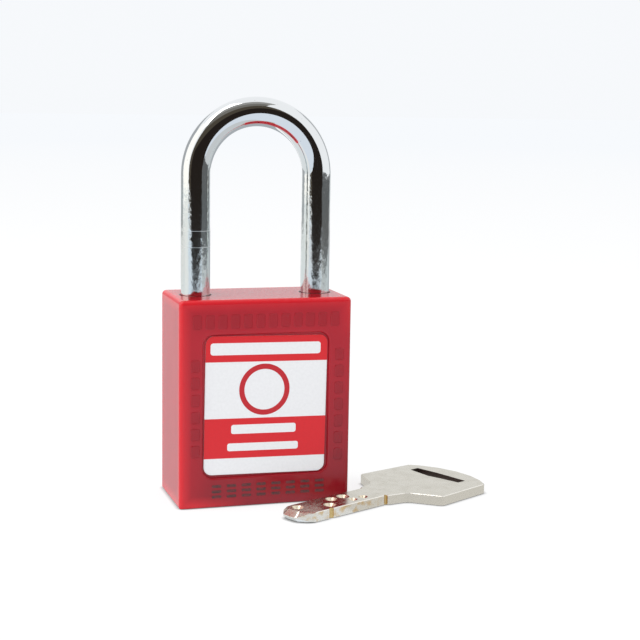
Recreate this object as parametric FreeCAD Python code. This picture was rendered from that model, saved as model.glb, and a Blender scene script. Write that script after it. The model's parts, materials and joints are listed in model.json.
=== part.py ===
import FreeCAD, Part

import math
import os

# A keyed-retained safety padlock with its key, in millimetres.
# Origin: the middle of the case's underside. +Z is up, the label faces -Y.
# The heel leg of the shackle is at -X and the toe leg at +X.
# Rest state: shackle home, plug at its open position, both balls drawn in.
# Turning the plug a quarter turn about +Z drives the balls out and locks it.

# Case
CASE_W = 38.0
CASE_D = 20.0
CASE_H = 45.0
CASE_EDGE_R = 1.0
CASE_FOOT_R = 0.4
SIDE_WALL = 2.1
FACE_WALL = 1.9
TOP_WALL = 3.0
BASE_T = 2.4
SNAP_T = 0.8

# Labels and the recesses that hold them, the same front and back
LABEL_W = 27.0
LABEL_H = 30.2
LABEL_R = 1.8
LABEL_T = 0.3
LABEL_Z = 22.0
RECESS_MARGIN = 0.35
RECESS_DEPTH = 0.65

# Shackle
BAR_D = 6.35
LEG_PITCH = 27.0
SHACKLE_CLEAR = 36.3
LIFT = 11.0
TOE_TIP_Z = 34.5
TOE_CHAMFER = 0.8
LEG_HOLE_GAP = 0.225
HEEL_END_Z = 20.9
FLANGE_T = 3.0
NECK_R = 1.9
NECK_TOP_Z = 31.0
SPRING_SEAT_Z = 8.0

# Locking balls
BALL_R = 2.4
BALL_Z = 37.5
BALL_BITE = 1.15
TOE_TRAVEL = 1.25
HEEL_TRAVEL = 0.8
NOTCH_GAP = 0.15
RUN_GAP = 0.1

# Cam
CAM_GAP = 0.125
CAM_BOTTOM = 34.8
CAM_TOP = 40.2
CAM_SHAFT_R = 3.4
CAM_SHAFT_BOTTOM = 28.0
CAM_JOURNAL_R = 2.5
CAM_JOURNAL_H = 1.0
TANG_W = 5.2
TANG_T = 1.7
TANG_BOTTOM = 25.2

# Lock cylinder
HOUSING_R = 7.2
HOUSING_BOTTOM = 0.3
HOUSING_TOP = 25.4
BIBLE_X = 15.8
BIBLE_HALF = 3.6
BIBLE_BOTTOM = 2.5
PLUG_R = 5.3
PLUG_GAP = 0.06
PLUG_BOTTOM = 0.4
PLUG_TOP = 27.2
PLUG_FLANGE_R = 6.0
PLUG_FLANGE_T = 0.9
CLIP_R = 6.2
CLIP_T = 0.6
CLIP_GROOVE_R = 4.65

# Key, and the pin rows that read it
BLADE_W = 7.6
BLADE_T = 2.2
BLADE_L = 24.6
ROW_OFFSET = 1.5
CHAMBER_R = 1.25
PIN_R = 1.2
DRIVER_INNER = 5.42
DRIVER_OUTER = 9.0
DRIVER_STEM_R = 0.7
DRIVER_STEM_L = 1.2
COVER_X = 14.5
COVER_T = 1.0
LARGE_DIMPLE = 2.4
SMALL_DIMPLE = 1.7
DIMPLE_STEEPNESS = 0.8
# Each pin: distance from the blade's tip, row side, dimple diameter
PINS = [
    (3.3, 1, LARGE_DIMPLE),
    (13.2, 1, LARGE_DIMPLE),
    (16.7, 1, LARGE_DIMPLE),
    (9.9, -1, LARGE_DIMPLE),
    (16.7, -1, SMALL_DIMPLE),
    (19.9, -1, SMALL_DIMPLE),
]

# Where the key lies: its tip, and the way the blade points
KEY_TIP_X = 1.6
KEY_TIP_Y = -24.35
KEY_TURN_DEG = 26.5
NECK_L = 5.0
BOW_L = 19.0
BOW_BULGE = 3.7
BOW_HALF = 12.7
KEY_SLOT_W = 3.3
KEY_SLOT_FROM_NECK = 16.45
TIP_BEVEL = 0.8
TIP_BEVEL_REACH = 2.5
# Narrow notches in one edge of the blade: distance from the tip, width
EDGE_NOTCHES = [(8.2, 1.3), (25.1, 0.7)]
EDGE_NOTCH_DEPTH = 0.3

# Worked out from the sizes above
LEG_X = LEG_PITCH / 2
BAR_R = BAR_D / 2
LEG_HOLE_R = BAR_R + LEG_HOLE_GAP
ARCH_Z = CASE_H + SHACKLE_CLEAR - (LEG_X - BAR_R)
LEG_INNER = LEG_X - BAR_R
BALL_OUT_X = LEG_INNER + BALL_BITE - BALL_R
TOE_BALL_X = BALL_OUT_X - TOE_TRAVEL
HEEL_BALL_X = BALL_OUT_X - HEEL_TRAVEL
NOTCH_R = BALL_R + NOTCH_GAP
CHANNEL_R = BALL_R + RUN_GAP
CAVITY_X = CASE_W / 2 - SIDE_WALL
CAVITY_Y = CASE_D / 2 - FACE_WALL
CAVITY_Z = CASE_H - TOP_WALL
CHASSIS_X = CAVITY_X - RUN_GAP
CHASSIS_Y = CAVITY_Y - RUN_GAP
CHASSIS_Z = CAVITY_Z - RUN_GAP
SCREW_SEAT_Z = 29.5

V = FreeCAD.Vector
X_AXIS = V(1, 0, 0)
Y_AXIS = V(0, 1, 0)
Z_AXIS = V(0, 0, 1)


def box(x0, x1, y0, y1, z0, z1):
    return Part.makeBox(x1 - x0, y1 - y0, z1 - z0, V(x0, y0, z0))


def rod(radius, start, end):
    way = end - start
    return Part.makeCylinder(radius, way.Length, start, way)


def upright(radius, z0, z1, x=0.0, y=0.0):
    return rod(radius, V(x, y, z0), V(x, y, z1))


def taper(r0, r1, start, end):
    way = end - start
    return Part.makeCone(r0, r1, way.Length, start, way)


def fused(shapes):
    return shapes[0].fuse(shapes[1:]).removeSplitter()


def rounded_plate(width, height, radius, y0, y1, z_mid):
    plate = box(-width / 2, width / 2, y0, y1, z_mid - height / 2, z_mid + height / 2)
    corners = [e for e in plate.Edges if abs(e.tangentAt(e.FirstParameter).y) > 0.9]
    return plate.makeFillet(radius, corners)


def spring(coil_r, wire_r, length, turns):
    pitch = (length - 2 * wire_r) / turns
    helix = Part.makeHelix(pitch, length - 2 * wire_r, coil_r)
    section = Part.Wire(Part.makeCircle(wire_r, V(coil_r, 0, 0), Y_AXIS))
    coil = Part.Wire(helix.Edges).makePipeShell([section], True, True)
    coil.translate(V(0, 0, wire_r))
    return coil


# ---- case -------------------------------------------------------------

def rounded_case():
    block = box(-CASE_W / 2, CASE_W / 2, -CASE_D / 2, CASE_D / 2, 0, CASE_H)
    uprights = [e for e in block.Edges if e.BoundBox.ZLength > CASE_H / 2]
    block = block.makeFillet(CASE_EDGE_R, uprights)
    top = [e for e in block.Edges if e.BoundBox.ZMin > CASE_H - 0.01]
    block = block.makeFillet(CASE_EDGE_R, top)
    foot = [e for e in block.Edges if e.BoundBox.ZMax < 0.01]
    return block.makeFillet(CASE_FOOT_R, foot)


def label_recess(side):
    face = side * CASE_D / 2
    floor = side * (CASE_D / 2 - RECESS_DEPTH)
    width = LABEL_W + 2 * RECESS_MARGIN
    height = LABEL_H + 2 * RECESS_MARGIN
    outer = face + side
    return rounded_plate(width, height, LABEL_R + RECESS_MARGIN,
                         min(floor, outer), max(floor, outer), LABEL_Z)


def snap_blocks(reach, half_length, z0, z1):
    blocks = []
    for side in (-1, 1):
        inner = side * (CAVITY_X - 1.0)
        outer = side * reach
        for y in (-4.5, 4.5):
            blocks.append(box(min(inner, outer), max(inner, outer),
                              y - half_length, y + half_length, z0, z1))
    return blocks


def body_shell():
    shell = rounded_case()
    shell = shell.cut(box(-CAVITY_X, CAVITY_X, -CAVITY_Y, CAVITY_Y, -1, CAVITY_Z))
    for x in (-LEG_X, LEG_X):
        shell = shell.cut(upright(LEG_HOLE_R, CAVITY_Z - 1, CASE_H + 1, x))
    for side in (-1, 1):
        shell = shell.cut(label_recess(side))
    snap_z = BASE_T / 2
    pockets = snap_blocks(CAVITY_X + 0.7, 1.6, snap_z - 0.1, snap_z + SNAP_T + 0.1)
    return shell.cut(pockets)


def base_plate():
    gap = RUN_GAP / 2
    plate = box(-CAVITY_X + gap, CAVITY_X - gap, -CAVITY_Y + gap, CAVITY_Y - gap, 0, BASE_T)
    snap_z = BASE_T / 2
    snaps = snap_blocks(CAVITY_X + 0.5, 1.4, snap_z, snap_z + SNAP_T)
    plate = fused([plate] + snaps)
    return plate.cut(upright(HOUSING_R + RUN_GAP, -1, BASE_T + 1))


def label(side):
    floor = side * (CASE_D / 2 - RECESS_DEPTH)
    face = floor + side * LABEL_T
    return rounded_plate(LABEL_W, LABEL_H, LABEL_R,
                         min(floor, face), max(floor, face), LABEL_Z)


# ---- chassis ----------------------------------------------------------

def chassis_hollows():
    top = CASE_H
    bible_gap = 0.05
    return [
        upright(LEG_HOLE_R, SPRING_SEAT_Z, top, -LEG_X),
        upright(LEG_HOLE_R, TOE_TIP_Z - 1, top, LEG_X),
        upright(HOUSING_R + bible_gap, 0, HOUSING_TOP + bible_gap),
        box(0, BIBLE_X + bible_gap, -BIBLE_HALF - bible_gap, BIBLE_HALF + bible_gap,
            0, HOUSING_TOP + bible_gap),
        upright(CLIP_R + 0.4, HOUSING_TOP, CAM_SHAFT_BOTTOM - 0.4),
        upright(CAM_SHAFT_R + RUN_GAP, CAM_SHAFT_BOTTOM - 1, CAM_BOTTOM),
        upright(cam_radius(90, TOE_BALL_X) + 0.2, CAM_BOTTOM - 0.3, CAM_TOP + 0.3),
        upright(CAM_JOURNAL_R + RUN_GAP, CAM_TOP, CAM_TOP + CAM_JOURNAL_H + 0.2),
        rod(CHANNEL_R, V(-LEG_X, 0, BALL_Z), V(LEG_X, 0, BALL_Z)),
        upright(1.35, HOUSING_TOP, SCREW_SEAT_Z + 1, LEG_X),
        upright(2.5, SCREW_SEAT_Z, TOE_TIP_Z, LEG_X),
    ] + dowels(0.02)


def chassis_half(side):
    near = 0.0
    far = side * CHASSIS_Y
    block = box(-CHASSIS_X, CHASSIS_X, min(near, far), max(near, far), BASE_T + 0.1, CHASSIS_Z)
    return block.cut(chassis_hollows())


def dowels(gap=0.0):
    places = [(-6.9, 30.6), (6.9, 30.6), (-12.6, 5.2)]
    return [rod(1.0 + gap, V(x, -6 - gap, z), V(x, 6 + gap, z)) for x, z in places]


# ---- shackle and balls ------------------------------------------------

def ball_notch(side, drawn_in_x):
    home = V(side * drawn_in_x, 0, BALL_Z)
    out = V(side * BALL_OUT_X, 0, BALL_Z)
    return [Part.makeSphere(NOTCH_R, out), rod(NOTCH_R, home, out)]


def heel_groove():
    bottom = HEEL_END_Z + FLANGE_T
    track = upright(NOTCH_R, bottom, BALL_Z, -HEEL_BALL_X)
    ring = upright(LEG_HOLE_R, bottom, NECK_TOP_Z, -LEG_X)
    ring = ring.cut(upright(NECK_R, bottom - 1, NECK_TOP_Z + 1, -LEG_X))
    return [track, ring, Part.makeSphere(NOTCH_R, V(-HEEL_BALL_X, 0, BALL_Z))]


def shackle():
    section = Part.Face(Part.Wire(Part.makeCircle(BAR_R, V(LEG_X, 0, ARCH_Z), Z_AXIS)))
    arch = section.revolve(V(0, 0, ARCH_Z), V(0, -1, 0), 180)
    toe = upright(BAR_R, TOE_TIP_Z + TOE_CHAMFER, ARCH_Z, LEG_X)
    tip = taper(BAR_R - TOE_CHAMFER, BAR_R,
                V(LEG_X, 0, TOE_TIP_Z), V(LEG_X, 0, TOE_TIP_Z + TOE_CHAMFER))
    heel = upright(BAR_R, HEEL_END_Z, ARCH_Z, -LEG_X)
    bar = fused([arch, toe, tip, heel])
    return bar.cut(ball_notch(1, TOE_BALL_X) + ball_notch(-1, HEEL_BALL_X) + heel_groove())


def shackle_spring():
    coil = spring(2.3, 0.4, HEEL_END_Z - SPRING_SEAT_Z - 0.1, 8)
    coil.translate(V(-LEG_X, 0, SPRING_SEAT_Z + 0.05))
    return coil


def ball(side, drawn_in_x):
    return Part.makeSphere(BALL_R, V(side * drawn_in_x, 0, BALL_Z))


# ---- cam --------------------------------------------------------------

def cam_radius(turn_deg, drawn_in_x):
    waist = drawn_in_x - BALL_R - CAM_GAP
    return waist + (BALL_OUT_X - drawn_in_x) * turn_deg / 90


def cam_flank(start_deg, rising, drawn_in_x):
    steps = 12
    points = []
    for i in range(steps + 1):
        turned = 90 * i / steps
        lift = turned if rising else 90 - turned
        angle = math.radians(start_deg + turned)
        radius = cam_radius(lift, drawn_in_x)
        points.append(V(radius * math.cos(angle), radius * math.sin(angle), CAM_BOTTOM))
    curve = Part.BSplineCurve()
    curve.interpolate(points)
    return curve.toShape()


def cam():
    outline = Part.Wire([
        cam_flank(0, True, TOE_BALL_X),
        cam_flank(90, False, HEEL_BALL_X),
        cam_flank(180, True, HEEL_BALL_X),
        cam_flank(270, False, TOE_BALL_X),
    ])
    lobes = Part.Face(outline).extrude(V(0, 0, CAM_TOP - CAM_BOTTOM))
    shaft = upright(CAM_SHAFT_R, CAM_SHAFT_BOTTOM, CAM_BOTTOM)
    journal = upright(CAM_JOURNAL_R, CAM_TOP, CAM_TOP + CAM_JOURNAL_H)
    tang = box(-TANG_W / 2, TANG_W / 2, -TANG_T / 2, TANG_T / 2, TANG_BOTTOM, CAM_SHAFT_BOTTOM)
    return fused([lobes, shaft, journal, tang])


# ---- lock cylinder ----------------------------------------------------

def pin_height(from_tip):
    return BLADE_L - from_tip


def cylinder_housing():
    barrel = upright(HOUSING_R, HOUSING_BOTTOM, HOUSING_TOP)
    bible = box(0, BIBLE_X, -BIBLE_HALF, BIBLE_HALF, BIBLE_BOTTOM, HOUSING_TOP)
    housing = fused([barrel, bible])
    cuts = [
        upright(PLUG_R + PLUG_GAP, -1, HOUSING_TOP + 1),
        upright(PLUG_FLANGE_R + PLUG_GAP, -1, PLUG_BOTTOM + PLUG_FLANGE_T + PLUG_GAP),
        cover_block(0.03, BIBLE_X + 1),
        upright(1.25, HOUSING_TOP - 2.4, HOUSING_TOP + 1, LEG_X),
    ]
    for from_tip, row, _ in PINS:
        y = row * ROW_OFFSET
        z = pin_height(from_tip)
        cuts.append(rod(CHAMBER_R, V(3, y, z), V(COVER_X, y, z)))
    return housing.cut(cuts)


def cover_block(gap, outer):
    return box(COVER_X, outer, -3.0 - gap, 3.0 + gap, 3.3 - gap, 22.8 + gap)


def pin_cover_strip():
    return cover_block(0.0, COVER_X + COVER_T)


def cylinder_plug():
    core = upright(PLUG_R, PLUG_BOTTOM, PLUG_TOP)
    flange = upright(PLUG_FLANGE_R, PLUG_BOTTOM, PLUG_BOTTOM + PLUG_FLANGE_T)
    plug = fused([core, flange])
    groove_z = HOUSING_TOP + 0.3
    groove = upright(PLUG_FLANGE_R, groove_z, groove_z + CLIP_T + 0.1)
    groove = groove.cut(upright(CLIP_GROOVE_R, groove_z - 1, groove_z + 2))
    keyway_x = BLADE_W / 2 + 0.1
    keyway_y = BLADE_T / 2 + 0.1
    slot = TANG_W / 2 + 0.2
    cuts = [
        groove,
        box(-keyway_x, keyway_x, -keyway_y, keyway_y, -1, BLADE_L + 0.3),
        box(-slot, slot, -TANG_T / 2 - 0.2, TANG_T / 2 + 0.2, TANG_BOTTOM - 0.2, PLUG_TOP + 1),
    ]
    for from_tip, row, _ in PINS:
        x = row * ROW_OFFSET
        z = pin_height(from_tip)
        cuts.append(rod(CHAMBER_R, V(x, -2.4, z), V(x, -7, z)))
        cuts.append(rod(0.8, V(x, 0, z), V(x, -7, z)))
    return plug.cut(cuts)


def plug_retaining_clip():
    z0 = HOUSING_TOP + 0.35
    ring = upright(CLIP_R, z0, z0 + CLIP_T)
    ring = ring.cut(upright(CLIP_GROOVE_R + 0.05, z0 - 1, z0 + 2))
    return ring.cut(box(-2.6, 2.6, 0, 9, z0 - 1, z0 + 2))


def key_pin(from_tip, row, dimple):
    x = row * ROW_OFFSET
    z = pin_height(from_tip)
    depth = DIMPLE_STEEPNESS * dimple / 2
    tip_y = -(BLADE_T / 2 - depth) - 0.02
    nose_r = 0.7
    nose_y = tip_y - 0.55
    shoulder_y = -3.3
    return fused([
        taper(0.2, nose_r, V(x, tip_y, z), V(x, nose_y, z)),
        rod(nose_r, V(x, nose_y, z), V(x, shoulder_y, z)),
        rod(PIN_R, V(x, shoulder_y, z), V(x, -4.3, z)),
        taper(PIN_R, 0.6, V(x, -4.3, z), V(x, -4.7, z)),
    ])


def driver_pin(from_tip, row, _):
    y = row * ROW_OFFSET
    z = pin_height(from_tip)
    lead = 0.2
    return fused([
        taper(PIN_R - lead, PIN_R, V(DRIVER_INNER, y, z), V(DRIVER_INNER + lead, y, z)),
        rod(PIN_R, V(DRIVER_INNER + lead, y, z), V(DRIVER_OUTER, y, z)),
        rod(DRIVER_STEM_R - 0.15, V(DRIVER_OUTER, y, z), V(DRIVER_OUTER + DRIVER_STEM_L, y, z)),
    ])


def pin_spring(from_tip, row, _):
    coil = spring(0.88, 0.16, COVER_X - DRIVER_OUTER - 0.1, 7)
    coil.rotate(V(0, 0, 0), Y_AXIS, 90)
    coil.translate(V(DRIVER_OUTER + 0.05, row * ROW_OFFSET, pin_height(from_tip)))
    return coil


def cylinder_retaining_screw():
    head_top = SCREW_SEAT_Z + 2.0
    screw = fused([
        upright(1.2, HOUSING_TOP - 2.3, SCREW_SEAT_Z, LEG_X),
        upright(2.2, SCREW_SEAT_Z, head_top, LEG_X),
    ])
    socket = Part.makePolygon([
        V(LEG_X + 1.15 * math.cos(math.radians(60 * i)),
          1.15 * math.sin(math.radians(60 * i)), head_top - 1.2) for i in range(7)
    ])
    return screw.cut(Part.Face(socket).extrude(V(0, 0, 2)))


# ---- key --------------------------------------------------------------

def key_outline():
    blade = BLADE_W / 2
    root = BLADE_L + 0.2
    neck_end = BLADE_L + NECK_L
    corner = neck_end + 3.7
    end = neck_end + BOW_L
    side = [
        V(0.0, 2.3, 0), V(0.9, 3.2, 0), V(2.4, blade, 0), V(root, blade, 0),
        V(root, blade + 0.5, 0), V(neck_end, blade + 1.7, 0), V(corner, BOW_HALF, 0),
        V(end, BOW_HALF - 1.0, 0),
    ]
    other = [V(p.x, -p.y, 0) for p in reversed(side)]
    edges = [Part.makeLine(side[i], side[i + 1]) for i in range(len(side) - 1)]
    edges.append(Part.Arc(side[-1], V(end + BOW_BULGE, 0, 0), other[0]).toShape())
    edges += [Part.makeLine(other[i], other[i + 1]) for i in range(len(other) - 1)]
    edges.append(Part.makeLine(other[-1], side[0]))
    return Part.Wire(edges)


def key():
    plate = Part.Face(key_outline()).extrude(V(0, 0, BLADE_T))
    bow_corners = [e for e in plate.Edges
                   if e.BoundBox.ZLength > BLADE_T / 2 and abs(e.BoundBox.YMin) > BOW_HALF - 1.5]
    plate = plate.makeFillet(1.0, bow_corners)
    tip_rim = [e for e in plate.Edges if e.BoundBox.XMax < TIP_BEVEL_REACH and e.BoundBox.ZLength < 0.01]
    plate = plate.makeChamfer(TIP_BEVEL, tip_rim)
    slot_u = BLADE_L + NECK_L + KEY_SLOT_FROM_NECK
    slot = box(slot_u - KEY_SLOT_W / 2, slot_u + KEY_SLOT_W / 2, -7.1, 8.1, -1, BLADE_T + 1)
    cuts = [slot]
    notch_v = EDGE_NOTCH_DEPTH - BLADE_W / 2
    for u, width in EDGE_NOTCHES:
        cuts.append(box(u - width / 2, u + width / 2, -8, notch_v, -1, BLADE_T + 1))
    for from_tip, row, dimple in PINS:
        depth = DIMPLE_STEEPNESS * dimple / 2
        for top, way in ((BLADE_T, -1), (0.0, 1)):
            mouth = V(from_tip, row * ROW_OFFSET * -way, top)
            cuts.append(taper(dimple / 2, 0.15, mouth, mouth + V(0, 0, way * depth)))
    plate = plate.cut(cuts)
    plate.rotate(V(0, 0, 0), Z_AXIS, KEY_TURN_DEG)
    plate.translate(V(KEY_TIP_X, KEY_TIP_Y, 0))
    return plate


# ---- every node -------------------------------------------------------

def nodes():
    parts = {
        "body_shell": body_shell(),
        "base_plate": base_plate(),
        "front_label": label(-1),
        "rear_label": label(1),
        "inner_frame_front": chassis_half(-1),
        "inner_frame_rear": chassis_half(1),
        "frame_dowel_pins": Part.makeCompound(dowels()),
        "shackle": shackle(),
        "shackle_spring": shackle_spring(),
        "locking_ball_toe": ball(1, TOE_BALL_X),
        "locking_ball_heel": ball(-1, HEEL_BALL_X),
        "cam": cam(),
        "cylinder_housing": cylinder_housing(),
        "cylinder_plug": cylinder_plug(),
        "plug_retaining_clip": plug_retaining_clip(),
        "pin_cover_strip": pin_cover_strip(),
        "cylinder_retaining_screw": cylinder_retaining_screw(),
        "key": key(),
    }
    for number, pin in enumerate(PINS, start=1):
        parts[f"key_pin_{number}"] = key_pin(*pin)
        parts[f"driver_pin_{number}"] = driver_pin(*pin)
        parts[f"pin_spring_{number}"] = pin_spring(*pin)
    return parts


os.makedirs("parts", exist_ok=True)
for name, shape in nodes().items():
    print(name, "valid" if shape.isValid() else "NOT VALID", len(shape.Solids),
          round(shape.Volume, 2))
    shape.exportStep(f"parts/{name}.step")
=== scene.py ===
import json
import math

import bmesh
import bpy
from mathutils import Matrix, Vector


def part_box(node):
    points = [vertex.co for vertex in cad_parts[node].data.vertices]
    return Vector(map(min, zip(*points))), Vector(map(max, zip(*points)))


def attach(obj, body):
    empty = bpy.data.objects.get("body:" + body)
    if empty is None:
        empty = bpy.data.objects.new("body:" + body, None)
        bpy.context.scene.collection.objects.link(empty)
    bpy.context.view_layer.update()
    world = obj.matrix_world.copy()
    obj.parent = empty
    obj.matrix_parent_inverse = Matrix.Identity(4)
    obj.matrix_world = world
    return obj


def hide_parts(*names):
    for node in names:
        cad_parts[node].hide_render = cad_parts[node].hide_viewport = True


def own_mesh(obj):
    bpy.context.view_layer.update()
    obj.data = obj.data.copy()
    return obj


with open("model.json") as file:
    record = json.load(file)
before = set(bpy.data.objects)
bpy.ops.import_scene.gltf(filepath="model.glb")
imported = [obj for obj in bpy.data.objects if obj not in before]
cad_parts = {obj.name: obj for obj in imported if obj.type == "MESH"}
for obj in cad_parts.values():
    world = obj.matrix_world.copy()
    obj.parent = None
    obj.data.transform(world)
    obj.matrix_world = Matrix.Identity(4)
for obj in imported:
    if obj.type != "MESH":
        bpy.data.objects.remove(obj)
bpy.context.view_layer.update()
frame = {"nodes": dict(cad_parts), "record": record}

# A red lockout padlock with a plated shackle, a printed front label and its dimple key.
# Sizes are written in millimetres and turned into metres with MM.

MM = 0.001
scene = bpy.context.scene
nodes = frame["nodes"]

CASE_LOW, CASE_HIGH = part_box("body_shell")
LABEL_LOW, LABEL_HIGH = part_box("front_label")
BAR_LOW, BAR_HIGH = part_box("shackle")

# Edges that turn by more than this are shown sharp.
SHARP_DEG = 30
BAR_SHARP_DEG = 35
KEY_SHARP_DEG = 25
CORNER_STEPS = 8
EDGE_STEPS = 6
FILLET_STEPS = 3
LIP_STEPS = 4
CASE_EDGE = 1.0 * MM
FOOT_EDGE = 0.4 * MM
WALL_X = 2.1 * MM
WALL_Y = 1.9 * MM
WALL_TOP = 3.0 * MM
RECESS_DEPTH = 0.65 * MM
RECESS_MARGIN = 0.5 * MM
RECESS_RIM = 0.3 * MM
RECESS_FILLET = 0.25 * MM
LABEL_CORNER = 1.8 * MM
LABEL_TILT = math.radians(0.8)
LEG_HOLE_R = 3.4 * MM
LEG_HOLE_LIP = 0.2 * MM
# The case's edge roundings start at this share of their radius, so no two points coincide.
LEAST_OUT = 0.02

# Raised pads on the case's front: first pad's (x, z), step, count and (width, height), in mm.
PAD_ROWS = [((-15.2, 40.4), (2.76, 0.0), 12, (1.9, 3.0)),
            ((-15.6, 31.0), (0.0, -3.7), 6, (1.9, 2.6)),
            ((16.3, 32.6), (0.0, -3.7), 7, (1.9, 2.6))]
PAD_PROUD = 0.12 * MM
PAD_CORNER = 0.35 * MM
PAD_CHAMFER = 0.08 * MM

# Stamped dashes at the front's foot: first dash's (x, z), step and (width, height), in mm.
DASH_START, DASH_STEP, DASH_SIZE = (-10.9, 2.35), (3.3, 1.15), (2.1, 0.62)
DASH_COLUMNS, DASH_LEVELS = 8, 3
DASH_PROUD = 0.03 * MM
DASH_CORNER = 0.25 * MM
DASH_CHAMFER = 0.02 * MM
# Pads, dashes and bands of ink reach this far back into what carries them.
ROOT = 0.1 * MM

# The card's face lies this far behind the CAD label's, which leaves room for the ink.
CARD_DROP = 0.06 * MM
CARD_EDGE = 0.06 * MM
INK_PROUD = 0.02 * MM
LEAST_BAND_CORNER = 0.02 * MM
INK_SLOT, RING_SLOT = 1, 2
TITLE_BAND_FOOT = 31.5 * MM
LOWER_BAND = (10.5 * MM, 19.2 * MM)
RING_R = 5.6 * MM
RING_WIDTH = 1.15 * MM
RING_X, RING_Z = -0.4 * MM, 25.4 * MM
RING_SIDES = 96
LABEL_BAR_ROOT = 0.01 * MM
LABEL_BAR_CHAMFER = 0.01 * MM
# Plain bars on the bands: (x, z, width, height, corner), in mm.
LABEL_BARS = [(-0.25, 34.3, 24.4, 2.6, 0.6), (-0.4, 16.8, 14.4, 2.0, 0.5),
              (-0.5, 12.9, 15.8, 1.7, 0.5)]

BAR_R = (BAR_HIGH.y - BAR_LOW.y) / 2
LEG_X = BAR_HIGH.x - BAR_R
ARCH_Z = BAR_HIGH.z - LEG_X - BAR_R
HEEL_END = BAR_LOW.z
TOE_TIP = 34.5 * MM
TOE_CHAMFER = 0.8 * MM
HEEL_CHAMFER = 0.3 * MM
HEEL_FLANGE_TOP = HEEL_END + 3.0 * MM
HEEL_NECK_R = 1.9 * MM
HEEL_NECK_TOP = 31.0 * MM
BALL_Z = 37.5 * MM
BALL_R = 2.4 * MM
BALL_SEAT_R = 2.55 * MM
# How far a locking ball's front goes into the bar.
BALL_SEAT_DEPTH = 1.15 * MM
# The heel's groove is this much shallower than the seats.
GROOVE_RISE = 0.8 * MM
BAR_SIDES = 72
ARCH_STEPS = 64
LEG_STEP = 2.0 * MM


# ---- mesh helpers -----------------------------------------------------

def new_object(name, mesh):
    piece = bpy.data.objects.new(name, mesh)
    scene.collection.objects.link(piece)
    return piece


def from_bmesh(name, bm):
    bmesh.ops.recalc_face_normals(bm, faces=bm.faces)
    mesh = bpy.data.meshes.new(name)
    bm.to_mesh(mesh)
    bm.free()
    smooth(mesh)
    return new_object(name, mesh)


def smooth(mesh, sharp_deg=SHARP_DEG):
    mesh.shade_smooth()
    mesh.set_sharp_from_angle(angle=math.radians(sharp_deg))


def stitch(bm, loops, slot=0):
    """Joins loops of points, each with the same count, into a skin, and closes both ends."""
    rings = [[bm.verts.new(p) for p in loop] for loop in loops]
    count = len(rings[0])
    faces = []
    for a, b in zip(rings, rings[1:]):
        for i in range(count):
            j = (i + 1) % count
            faces.append(bm.faces.new((a[i], a[j], b[j], b[i])))
    faces.append(bm.faces.new(rings[0]))
    faces.append(bm.faces.new(rings[-1]))
    for face in faces:
        face.material_index = slot


def carve(piece, cutter):
    """Cuts cutter out of piece, and the cut takes the cutter's material."""
    cut = piece.modifiers.new("cut", "BOOLEAN")
    cut.operation = "DIFFERENCE"
    cut.solver = "EXACT"
    cut.object = cutter
    if cutter.data.materials:
        cut.material_mode = "TRANSFER"
    bpy.context.view_layer.objects.active = piece
    bpy.ops.object.modifier_apply(modifier=cut.name)
    bpy.data.objects.remove(cutter)


def soften(piece, sharp_deg=SHARP_DEG):
    """Flat faces stay flat where they meet a round edge."""
    smooth(piece.data, sharp_deg)
    weighted = piece.modifiers.new("flat_faces", "WEIGHTED_NORMAL")
    weighted.keep_sharp = True
    weighted.weight = 90


def box_piece(name, low, high):
    bm = bmesh.new()
    size = high - low
    bmesh.ops.create_cube(bm, size=1.0)
    for v in bm.verts:
        v.co = Vector(low[i] + (v.co[i] + 0.5) * size[i] for i in range(3))
    return from_bmesh(name, bm)


def lathe(bm, profile, centre, axis="Z", sides=64, slot=0):
    """Turns a closed ring of (radius, height) points round an axis through centre."""
    loops = []
    for step in range(sides):
        angle = 2 * math.pi * step / sides
        c, s = math.cos(angle), math.sin(angle)
        if axis == "Z":
            loops.append([centre + Vector((r * c, r * s, h)) for r, h in profile])
        else:
            loops.append([centre + Vector((r * c, h, r * s)) for r, h in profile])
    rings = [[bm.verts.new(p) for p in loop] for loop in loops]
    count = len(profile)
    for i in range(sides):
        a, b = rings[i], rings[(i + 1) % sides]
        for k in range(count):
            m = (k + 1) % count
            bm.faces.new((a[k], a[m], b[m], b[k])).material_index = slot
    bmesh.ops.remove_doubles(bm, verts=bm.verts, dist=1e-7)


def rounded_loop(half_w, low, high, corner, y, x=0.0, foot_corner=None, foot_y=None):
    """Points round an upright rectangle facing along Y, starting at its lower right corner."""
    foot_corner = corner if foot_corner is None else foot_corner
    foot_y = y if foot_y is None else foot_y
    points = []
    for index, (side, is_top) in enumerate(((1, False), (1, True), (-1, True), (-1, False))):
        radius = corner if is_top else foot_corner
        mid_x = side * (half_w - radius)
        mid_z = high - radius if is_top else low + radius
        for step in range(CORNER_STEPS + 1):
            share = step / CORNER_STEPS
            angle = (index - 1 + share) * math.pi / 2
            footness = {0: 1 - share, 3: share}.get(index, 0.0)
            points.append(Vector((x + mid_x + radius * math.cos(angle),
                                  y + (foot_y - y) * footness,
                                  mid_z + radius * math.sin(angle))))
    return points


# ---- node materials ---------------------------------------------------

def new_material(name, colour, roughness, metallic=0.0):
    made = bpy.data.materials.new(name)
    made.use_nodes = True
    shader = made.node_tree.nodes["Principled BSDF"]
    shader.inputs["Base Color"].default_value = (*colour, 1)
    shader.inputs["Roughness"].default_value = roughness
    shader.inputs["Metallic"].default_value = metallic
    return made, shader


def place_coordinates(made, stretch):
    tree = made.node_tree
    coordinates = tree.nodes.new("ShaderNodeTexCoord")
    mapping = tree.nodes.new("ShaderNodeMapping")
    mapping.inputs["Scale"].default_value = stretch
    tree.links.new(coordinates.outputs["Object"], mapping.inputs["Vector"])
    return mapping.outputs["Vector"]


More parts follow.
